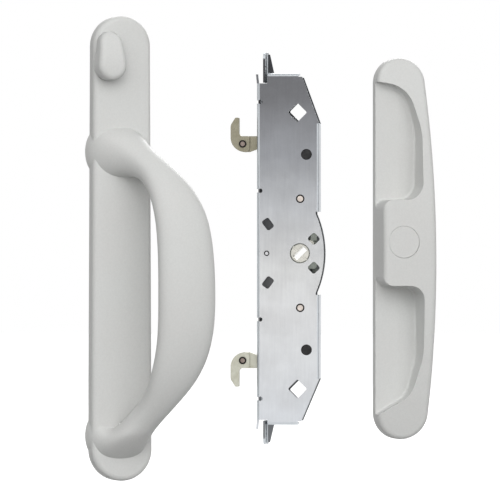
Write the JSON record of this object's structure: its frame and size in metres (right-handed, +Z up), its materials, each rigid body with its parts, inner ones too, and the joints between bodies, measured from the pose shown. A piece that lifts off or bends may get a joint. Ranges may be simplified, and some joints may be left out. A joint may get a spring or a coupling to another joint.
{
  "type": "mortise sliding door handle set",
  "caption": "Sliding door handle set: arched interior pull with thumb turn, slim mortise lock with opposed swinging hooks, and recessed exterior pull with plugged cylinder hole",
  "frame": {"origin": "tailpiece axis in the interior pull's back plane, midway between that pull's two fixing holes", "axes": "+Z up along the door's edge, +Y into the door, +X to the right seen from the front; the three items stand apart and are each turned a little about Z as displayed"},
  "size_m": [0.2143, 0.075, 0.2838],
  "materials": {
    "painted_casting": "semi-gloss",
    "zinc_plated_sheet": "satin",
    "hook_steel": "satin",
    "dark_steel": "black oxide",
    "plated_steel": "satin"
  },
  "bodies": {
    "pulls_and_case": {"interior_pull": "painted_casting", "driver_keeper": "plated_steel", "keeper_screws": "plated_steel", "near_case_plate": "zinc_plated_sheet", "far_case_plate": "zinc_plated_sheet", "guide_spacers": "plated_steel", "front_spacer": "plated_steel", "upper_pivot_pin": "dark_steel", "lower_pivot_pin": "dark_steel", "upper_pivot_sleeves": "plated_steel", "lower_pivot_sleeves": "plated_steel", "exterior_pull": "painted_casting", "cylinder_plug": "painted_casting", "plug_clip": "plated_steel"},
    "thumb_turn": {"thumb_turn": "painted_casting", "turn_crank": "plated_steel", "upper_link_rivet": "plated_steel"},
    "link": {"link_bar": "plated_steel"},
    "driver": {"tail_driver": "plated_steel", "tailpiece": "plated_steel", "lower_link_rivet": "plated_steel"},
    "hub": {"lock_hub": "plated_steel"},
    "upper_slide": {"upper_slide": "plated_steel"},
    "lower_slide": {"lower_slide": "plated_steel"},
    "upper_hook": {"upper_hook": "hook_steel", "upper_hook_near_cheek": "hook_steel", "upper_hook_far_cheek": "hook_steel", "upper_hook_rivet": "hook_steel", "upper_drive_pin": "plated_steel"},
    "lower_hook": {"lower_hook": "hook_steel", "lower_hook_near_cheek": "hook_steel", "lower_hook_far_cheek": "hook_steel", "lower_hook_rivet": "hook_steel", "lower_drive_pin": "plated_steel"}
  },
  "joints": [
    {"name": "thumb_turn_swing", "type": "hinge", "parent": "pulls_and_case", "child": "thumb_turn", "pos_m": [-0.00678, -0.00885, 0.1349], "axis": [-0.342, 0.9397, 0], "range_deg": [0, 90]},
    {"name": "link_swing", "type": "hinge", "parent": "thumb_turn", "child": "link", "pos_m": [-0.00215, -0.00504, 0.14056], "axis": [-0.342, 0.9397, 0], "range_deg": [-90, 0]},
    {"name": "driver_turn", "type": "hinge", "parent": "pulls_and_case", "child": "driver", "pos_m": [0.00171, -0.0047, 0], "axis": [-0.342, 0.9397, 0], "range_deg": [0, 90]},
    {"name": "hub_turn", "type": "hinge", "parent": "pulls_and_case", "child": "hub", "pos_m": [0.1122, -0.008, 0.0207], "axis": [0.0872, 0.9962, 0], "range_deg": [0, 90]},
    {"name": "upper_slide_travel", "type": "slide", "parent": "pulls_and_case", "child": "upper_slide", "axis": [0, 0, -1], "range_m": [0, 0.0121]},
    {"name": "lower_slide_travel", "type": "slide", "parent": "pulls_and_case", "child": "lower_slide", "axis": [0, 0, 1], "range_m": [0, 0.0121]},
    {"name": "upper_hook_swing", "type": "hinge", "parent": "pulls_and_case", "child": "upper_hook", "pos_m": [0.11618, -0.00835, 0.0809], "axis": [-0.0872, -0.9962, 0], "range_deg": [0, 82.1]},
    {"name": "lower_hook_swing", "type": "hinge", "parent": "pulls_and_case", "child": "lower_hook", "pos_m": [0.11618, -0.00835, -0.0381], "axis": [0.0872, 0.9962, 0], "range_deg": [0, 82.1]}
  ],
  "couplings": [
    {"joint": "link_swing", "follows": "thumb_turn_swing", "ratio": -1},
    {"joint": "driver_turn", "follows": "thumb_turn_swing", "ratio": 1},
    {"joint": "upper_slide_travel", "follows": "hub_turn", "m_per_rad": 0.0076527},
    {"joint": "lower_slide_travel", "follows": "hub_turn", "m_per_rad": 0.0076527},
    {"joint": "upper_hook_swing", "follows": "hub_turn", "ratio": 0.91111},
    {"joint": "lower_hook_swing", "follows": "hub_turn", "ratio": 0.91111}
  ]
}
